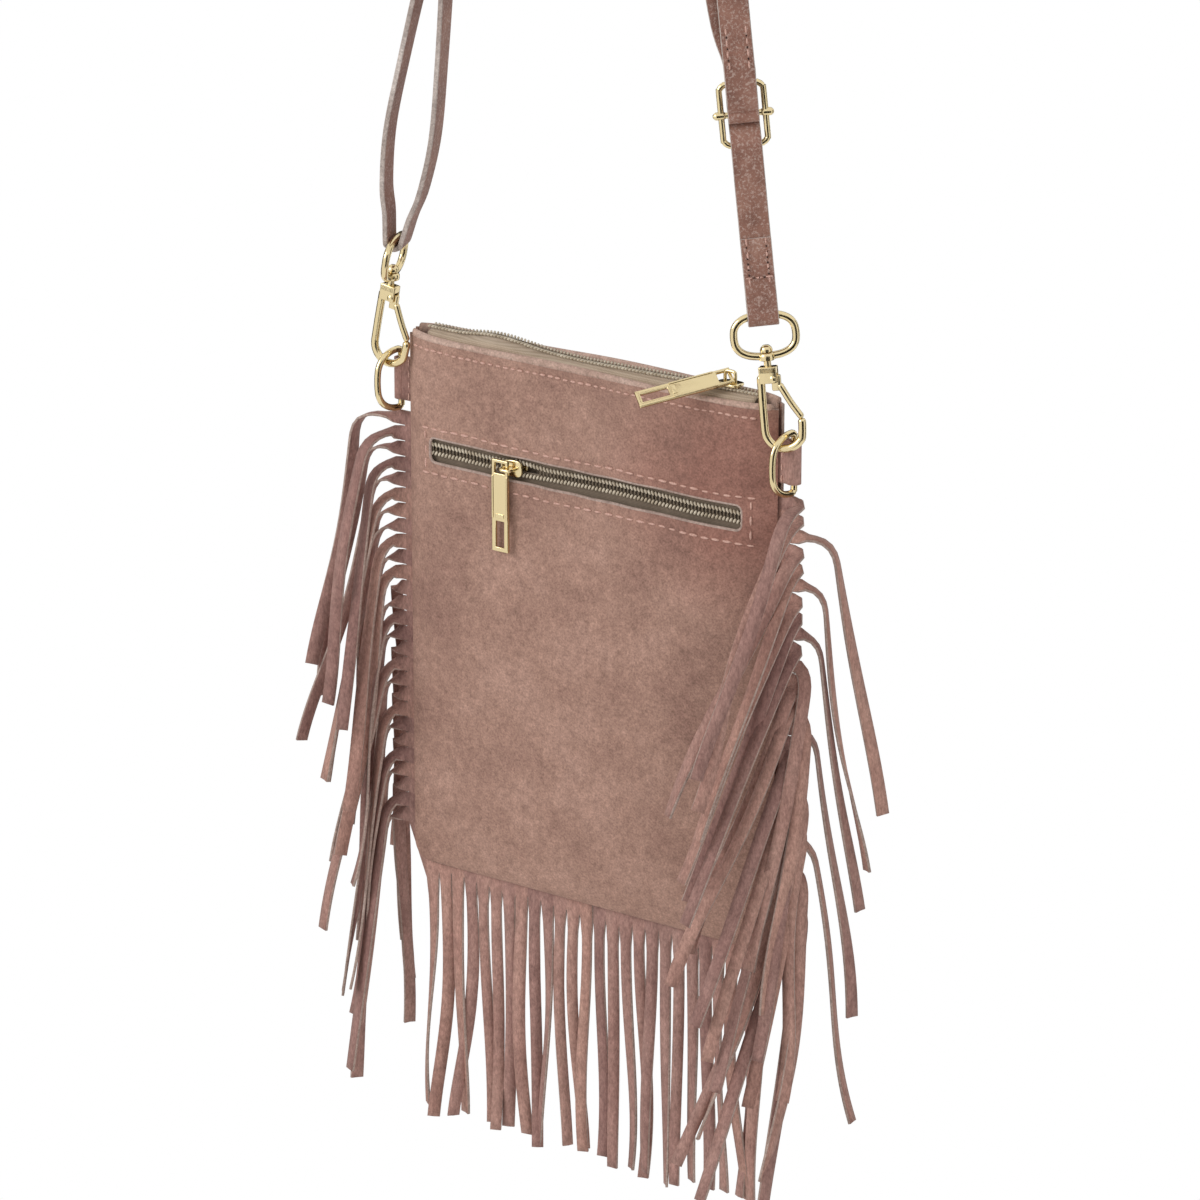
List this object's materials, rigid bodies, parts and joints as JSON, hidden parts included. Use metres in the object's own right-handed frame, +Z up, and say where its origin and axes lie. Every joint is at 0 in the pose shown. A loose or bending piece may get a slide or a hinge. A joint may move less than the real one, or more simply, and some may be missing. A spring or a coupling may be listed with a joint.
{
  "type": "fringed suede shoulder bag",
  "caption": "Flat suede shoulder bag with cut fringe at the sides and foot, a zipped pocket, a top zip and a strap on swivel hooks.",
  "frame": {"origin": "the underside of the strap's crown, where the bag hangs", "axes": "+Z up along the hanging strap, -Y out of the front panel, +X to the wearer's view right of the front"},
  "size_m": [0.2622, 0.0678, 0.6958],
  "materials": {
    "suede": "brushed suede",
    "strap_leather": "split leather",
    "lining": "plain cloth",
    "zip_tape": "woven tape",
    "zip_coil": "nylon coil",
    "gold_metal": "pale gold plate"
  },
  "bodies": {
    "bag": {"front_panel": "suede", "back_panel": "suede", "left_fringe": "suede", "right_fringe": "suede", "left_tab": "suede", "right_tab": "suede", "lining": "lining", "pocket_bag": "lining", "strap": "strap_leather", "buckle": "gold_metal", "left_eye": "gold_metal", "right_eye": "gold_metal", "pocket_zip_upper_tape": "zip_tape", "pocket_zip_lower_tape": "zip_tape", "pocket_zip_upper_coil": "zip_coil", "pocket_zip_lower_coil": "zip_coil", "top_zip_front_tape": "zip_tape", "top_zip_back_tape": "zip_tape", "top_zip_front_coil": "zip_coil", "top_zip_back_coil": "zip_coil"},
    "left_ring": {"left_d_ring": "gold_metal"},
    "right_ring": {"right_d_ring": "gold_metal"},
    "left_hook_body": {"left_hook": "gold_metal", "left_gate_rivet": "gold_metal"},
    "right_hook_body": {"right_hook": "gold_metal", "right_gate_rivet": "gold_metal"},
    "left_gate_body": {"left_gate": "gold_metal"},
    "right_gate_body": {"right_gate": "gold_metal"},
    "top_slider": {"top_zip_slider": "gold_metal"},
    "top_puller": {"top_zip_puller": "gold_metal"},
    "pocket_slider": {"pocket_zip_slider": "gold_metal"},
    "pocket_puller": {"pocket_zip_puller": "gold_metal"}
  },
  "joints": [
    {"name": "left_ring_turn", "type": "hinge", "parent": "bag", "child": "left_ring", "pos_m": [-0.0965, 0, -0.3705], "axis": [0, 0, 1], "range_deg": [-2, 10]},
    {"name": "right_ring_turn", "type": "hinge", "parent": "bag", "child": "right_ring", "pos_m": [0.0965, 0, -0.3705], "axis": [0, 0, 1], "range_deg": [0, 10]},
    {"name": "left_hook_swivel", "type": "hinge", "parent": "bag", "child": "left_hook_body", "pos_m": [-0.1025, -0.0066, -0.36405], "axis": [0.1688, 0.0179, 0.9855], "range_deg": [-12, 4]},
    {"name": "right_hook_swivel", "type": "hinge", "parent": "bag", "child": "right_hook_body", "pos_m": [0.0934, -0.0078, -0.36535], "axis": [-0.1414, 0.0211, 0.9897], "range_deg": [-8, 10]},
    {"name": "left_gate_hinge", "type": "hinge", "parent": "left_hook_body", "child": "left_gate_body", "pos_m": [-0.09557, -0.00594, -0.33542], "axis": [-0.0698, 0.9975, -0.0061], "range_deg": [0, 25], "stiffness_Nm_per_rad": 0.01, "springref_deg": -11.46},
    {"name": "right_gate_hinge", "type": "hinge", "parent": "right_hook_body", "child": "right_gate_body", "pos_m": [0.09108, -0.00642, -0.33601], "axis": [-0.3736, 0.9247, -0.0731], "range_deg": [0, 25], "stiffness_Nm_per_rad": 0.01, "springref_deg": -11.46},
    {"name": "top_zip_slide", "type": "slide", "parent": "bag", "child": "top_slider", "axis": [1, 0, 0], "range_m": [-0.136, 0.003]},
    {"name": "top_puller_hinge", "type": "hinge", "parent": "top_slider", "child": "top_puller", "pos_m": [0.066, 0, -0.34101], "axis": [-0.7578, 0.6525, 0], "range_deg": [0, 150]},
    {"name": "pocket_zip_slide", "type": "slide", "parent": "bag", "child": "pocket_slider", "axis": [1, 0, 0], "range_m": [-0.035, 0.105]},
    {"name": "pocket_puller_hinge", "type": "hinge", "parent": "pocket_slider", "child": "pocket_puller", "pos_m": [-0.035, -0.0105, -0.3955], "axis": [0, 0, 1], "range_deg": [0, 150]}
  ]
}
